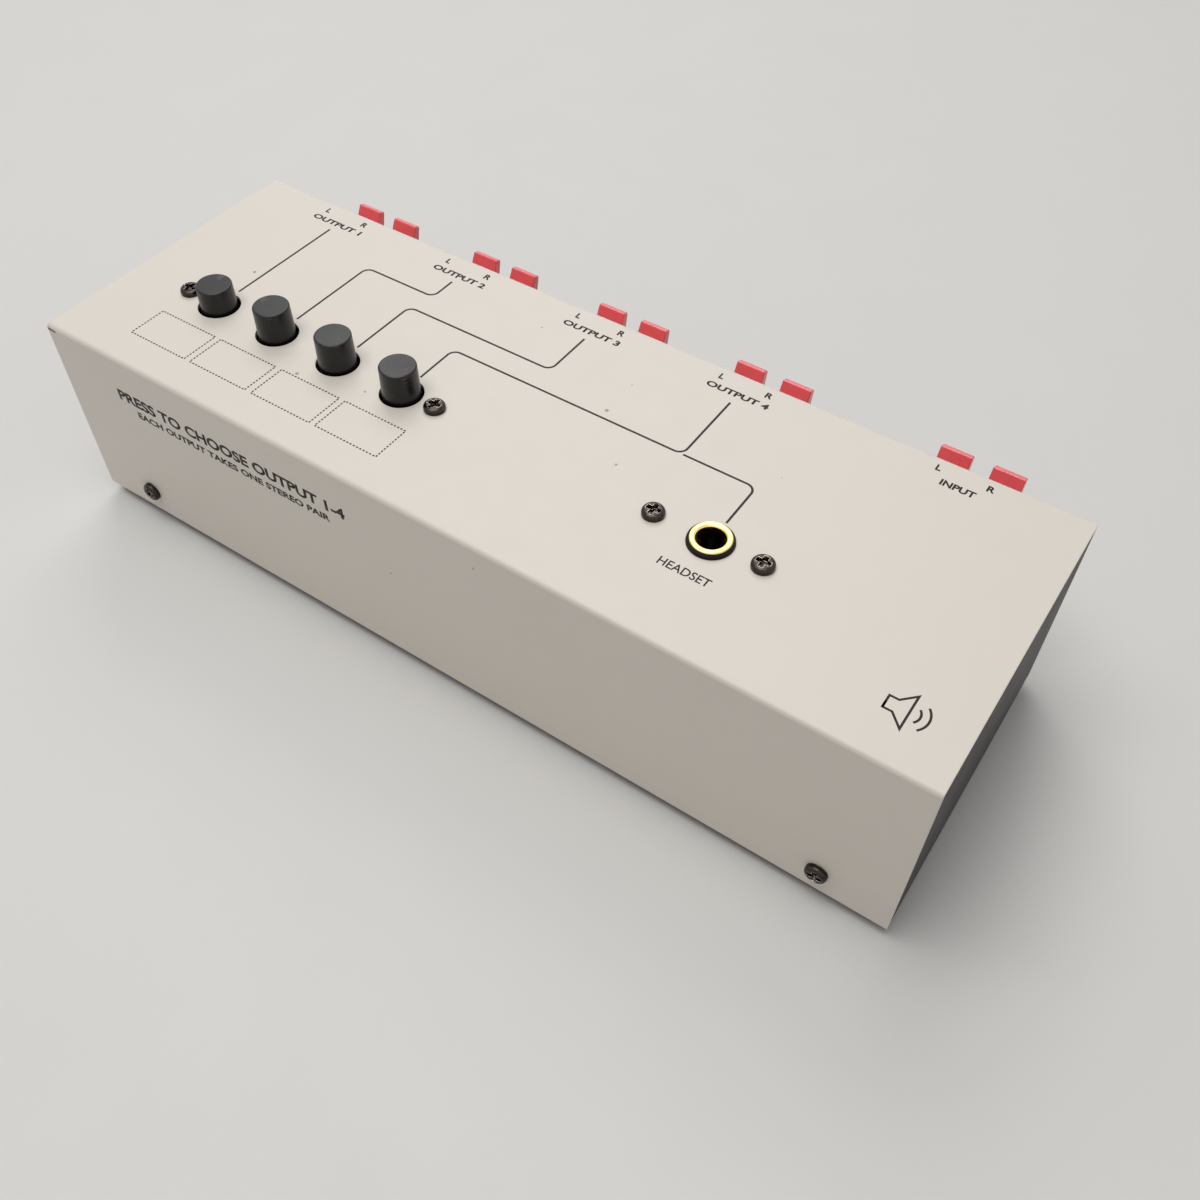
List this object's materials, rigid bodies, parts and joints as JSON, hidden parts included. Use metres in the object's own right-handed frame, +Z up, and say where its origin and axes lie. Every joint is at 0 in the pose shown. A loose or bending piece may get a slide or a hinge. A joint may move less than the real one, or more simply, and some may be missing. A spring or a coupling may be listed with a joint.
{
  "type": "speaker selector switch",
  "caption": "Desktop box that sends an amplifier's output to chosen pairs of speakers by push buttons, with a headphone jack on top and spring terminals at the back.",
  "frame": {"origin": "under the middle of the whole object's outline, on the plane the feet stand on", "axes": "+X from the buttons towards the headphone jack and input terminals, +Y from the front to the terminals at the back, +Z up"},
  "size_m": [0.24, 0.0962, 0.0657],
  "materials": {
    "cover_paint": "satin, light beige",
    "base_paint": "satin, near black",
    "rubber": "matt",
    "screw_steel": "dark, bright on the edges",
    "frame_steel": "zinc plated",
    "board": "bare laminate",
    "contact_brass": "bright",
    "spring_steel": "bright wire",
    "jack_plastic": "matt",
    "bush_gold": "polished",
    "resistor": "lacquered",
    "wire_red": "insulation",
    "wire_black": "insulation",
    "switch_plastic": "moulded",
    "plunger_plastic": "moulded, ivory",
    "cap_plastic": "satin",
    "block_plastic": "moulded",
    "lever_red": "glossy",
    "lever_black": "glossy"
  },
  "bodies": {
    "case": {"cover": "cover_paint", "base_chassis": "base_paint", "rubber_feet": "rubber", "panel_screws": "screw_steel", "switch_frame": "frame_steel", "switch_board": "board", "switch_pins": "contact_brass", "latch_wires": "spring_steel", "jack_body": "jack_plastic", "jack_bush": "bush_gold", "jack_contacts": "contact_brass", "jack_resistors": "resistor", "terminal_contacts": "contact_brass", "wires_red": "wire_red", "wires_black": "wire_black", "switch_body_1": "switch_plastic", "switch_body_2": "switch_plastic", "switch_body_3": "switch_plastic", "switch_body_4": "switch_plastic", "switch_spring_1": "spring_steel", "switch_spring_2": "spring_steel", "switch_spring_3": "spring_steel", "switch_spring_4": "spring_steel", "terminal_block_out1": "block_plastic", "terminal_block_out2": "block_plastic", "terminal_block_out3": "block_plastic", "terminal_block_out4": "block_plastic", "terminal_block_input": "block_plastic"},
    "button_1": {"plunger_1": "plunger_plastic", "contact_slide_1": "contact_brass", "button_cap_1": "cap_plastic"},
    "button_2": {"plunger_2": "plunger_plastic", "contact_slide_2": "contact_brass", "button_cap_2": "cap_plastic"},
    "button_3": {"plunger_3": "plunger_plastic", "contact_slide_3": "contact_brass", "button_cap_3": "cap_plastic"},
    "button_4": {"plunger_4": "plunger_plastic", "contact_slide_4": "contact_brass", "button_cap_4": "cap_plastic"},
    "lever_out1_left_red": {"lever_out1_left_red": "lever_red"},
    "lever_out1_left_black": {"lever_out1_left_black": "lever_black"},
    "lever_out1_right_red": {"lever_out1_right_red": "lever_red"},
    "lever_out1_right_black": {"lever_out1_right_black": "lever_black"},
    "lever_out2_left_red": {"lever_out2_left_red": "lever_red"},
    "lever_out2_left_black": {"lever_out2_left_black": "lever_black"},
    "lever_out2_right_red": {"lever_out2_right_red": "lever_red"},
    "lever_out2_right_black": {"lever_out2_right_black": "lever_black"},
    "lever_out3_left_red": {"lever_out3_left_red": "lever_red"},
    "lever_out3_left_black": {"lever_out3_left_black": "lever_black"},
    "lever_out3_right_red": {"lever_out3_right_red": "lever_red"},
    "lever_out3_right_black": {"lever_out3_right_black": "lever_black"},
    "lever_out4_left_red": {"lever_out4_left_red": "lever_red"},
    "lever_out4_left_black": {"lever_out4_left_black": "lever_black"},
    "lever_out4_right_red": {"lever_out4_right_red": "lever_red"},
    "lever_out4_right_black": {"lever_out4_right_black": "lever_black"},
    "lever_input_left_red": {"lever_input_left_red": "lever_red"},
    "lever_input_left_black": {"lever_input_left_black": "lever_black"},
    "lever_input_right_red": {"lever_input_right_red": "lever_red"},
    "lever_input_right_black": {"lever_input_right_black": "lever_black"}
  },
  "joints": [
    {"name": "button_1_press", "type": "slide", "parent": "case", "child": "button_1", "axis": [0, 0, 1], "range_m": [-0.0012, 0.0018], "stiffness_N_per_m": 400, "deforming": ["switch_spring_1"]},
    {"name": "button_2_press", "type": "slide", "parent": "case", "child": "button_2", "axis": [0, 0, 1], "range_m": [-0.003, 0], "stiffness_N_per_m": 400, "springref_m": 0.003, "deforming": ["switch_spring_2"]},
    {"name": "button_3_press", "type": "slide", "parent": "case", "child": "button_3", "axis": [0, 0, 1], "range_m": [-0.003, 0], "stiffness_N_per_m": 400, "springref_m": 0.003, "deforming": ["switch_spring_3"]},
    {"name": "button_4_press", "type": "slide", "parent": "case", "child": "button_4", "axis": [0, 0, 1], "range_m": [-0.003, 0], "stiffness_N_per_m": 400, "springref_m": 0.003, "deforming": ["switch_spring_4"]},
    {"name": "lever_out1_left_red_press", "type": "hinge", "parent": "case", "child": "lever_out1_left_red", "pos_m": [-0.0965, 0.03525, 0.0425], "axis": [-1, 0, 0], "range_deg": [0, 18], "stiffness_Nm_per_rad": 0.15, "springref_deg": -11.46},
    {"name": "lever_out1_left_black_press", "type": "hinge", "parent": "case", "child": "lever_out1_left_black", "pos_m": [-0.0965, 0.03525, 0.0185], "axis": [1, 0, 0], "range_deg": [0, 18], "stiffness_Nm_per_rad": 0.15, "springref_deg": -11.46},
    {"name": "lever_out1_right_red_press", "type": "hinge", "parent": "case", "child": "lever_out1_right_red", "pos_m": [-0.0835, 0.03525, 0.0425], "axis": [-1, 0, 0], "range_deg": [0, 18], "stiffness_Nm_per_rad": 0.15, "springref_deg": -11.46},
    {"name": "lever_out1_right_black_press", "type": "hinge", "parent": "case", "child": "lever_out1_right_black", "pos_m": [-0.0835, 0.03525, 0.0185], "axis": [1, 0, 0], "range_deg": [0, 18], "stiffness_Nm_per_rad": 0.15, "springref_deg": -11.46},
    {"name": "lever_out2_left_red_press", "type": "hinge", "parent": "case", "child": "lever_out2_left_red", "pos_m": [-0.0546, 0.03525, 0.0425], "axis": [-1, 0, 0], "range_deg": [0, 18], "stiffness_Nm_per_rad": 0.15, "springref_deg": -11.46},
    {"name": "lever_out2_left_black_press", "type": "hinge", "parent": "case", "child": "lever_out2_left_black", "pos_m": [-0.0546, 0.03525, 0.0185], "axis": [1, 0, 0], "range_deg": [0, 18], "stiffness_Nm_per_rad": 0.15, "springref_deg": -11.46},
    {"name": "lever_out2_right_red_press", "type": "hinge", "parent": "case", "child": "lever_out2_right_red", "pos_m": [-0.0416, 0.03525, 0.0425], "axis": [-1, 0, 0], "range_deg": [0, 18], "stiffness_Nm_per_rad": 0.15, "springref_deg": -11.46},
    {"name": "lever_out2_right_black_press", "type": "hinge", "parent": "case", "child": "lever_out2_right_black", "pos_m": [-0.0416, 0.03525, 0.0185], "axis": [1, 0, 0], "range_deg": [0, 18], "stiffness_Nm_per_rad": 0.15, "springref_deg": -11.46},
    {"name": "lever_out3_left_red_press", "type": "hinge", "parent": "case", "child": "lever_out3_left_red", "pos_m": [-0.0127, 0.03525, 0.0425], "axis": [-1, 0, 0], "range_deg": [0, 18], "stiffness_Nm_per_rad": 0.15, "springref_deg": -11.46},
    {"name": "lever_out3_left_black_press", "type": "hinge", "parent": "case", "child": "lever_out3_left_black", "pos_m": [-0.0127, 0.03525, 0.0185], "axis": [1, 0, 0], "range_deg": [0, 18], "stiffness_Nm_per_rad": 0.15, "springref_deg": -11.46},
    {"name": "lever_out3_right_red_press", "type": "hinge", "parent": "case", "child": "lever_out3_right_red", "pos_m": [0.0003, 0.03525, 0.0425], "axis": [-1, 0, 0], "range_deg": [0, 18], "stiffness_Nm_per_rad": 0.15, "springref_deg": -11.46},
    {"name": "lever_out3_right_black_press", "type": "hinge", "parent": "case", "child": "lever_out3_right_black", "pos_m": [0.0003, 0.03525, 0.0185], "axis": [1, 0, 0], "range_deg": [0, 18], "stiffness_Nm_per_rad": 0.15, "springref_deg": -11.46},
    {"name": "lever_out4_left_red_press", "type": "hinge", "parent": "case", "child": "lever_out4_left_red", "pos_m": [0.0292, 0.03525, 0.0425], "axis": [-1, 0, 0], "range_deg": [0, 18], "stiffness_Nm_per_rad": 0.15, "springref_deg": -11.46},
    {"name": "lever_out4_left_black_press", "type": "hinge", "parent": "case", "child": "lever_out4_left_black", "pos_m": [0.0292, 0.03525, 0.0185], "axis": [1, 0, 0], "range_deg": [0, 18], "stiffness_Nm_per_rad": 0.15, "springref_deg": -11.46},
    {"name": "lever_out4_right_red_press", "type": "hinge", "parent": "case", "child": "lever_out4_right_red", "pos_m": [0.0422, 0.03525, 0.0425], "axis": [-1, 0, 0], "range_deg": [0, 18], "stiffness_Nm_per_rad": 0.15, "springref_deg": -11.46},
    {"name": "lever_out4_right_black_press", "type": "hinge", "parent": "case", "child": "lever_out4_right_black", "pos_m": [0.0422, 0.03525, 0.0185], "axis": [1, 0, 0], "range_deg": [0, 18], "stiffness_Nm_per_rad": 0.15, "springref_deg": -11.46},
    {"name": "lever_input_left_red_press", "type": "hinge", "parent": "case", "child": "lever_input_left_red", "pos_m": [0.0843, 0.03525, 0.0425], "axis": [-1, 0, 0], "range_deg": [0, 18], "stiffness_Nm_per_rad": 0.15, "springref_deg": -11.46},
    {"name": "lever_input_left_black_press", "type": "hinge", "parent": "case", "child": "lever_input_left_black", "pos_m": [0.0843, 0.03525, 0.0185], "axis": [1, 0, 0], "range_deg": [0, 18], "stiffness_Nm_per_rad": 0.15, "springref_deg": -11.46},
    {"name": "lever_input_right_red_press", "type": "hinge", "parent": "case", "child": "lever_input_right_red", "pos_m": [0.0973, 0.03525, 0.0425], "axis": [-1, 0, 0], "range_deg": [0, 18], "stiffness_Nm_per_rad": 0.15, "springref_deg": -11.46},
    {"name": "lever_input_right_black_press", "type": "hinge", "parent": "case", "child": "lever_input_right_black", "pos_m": [0.0973, 0.03525, 0.0185], "axis": [1, 0, 0], "range_deg": [0, 18], "stiffness_Nm_per_rad": 0.15, "springref_deg": -11.46}
  ]
}
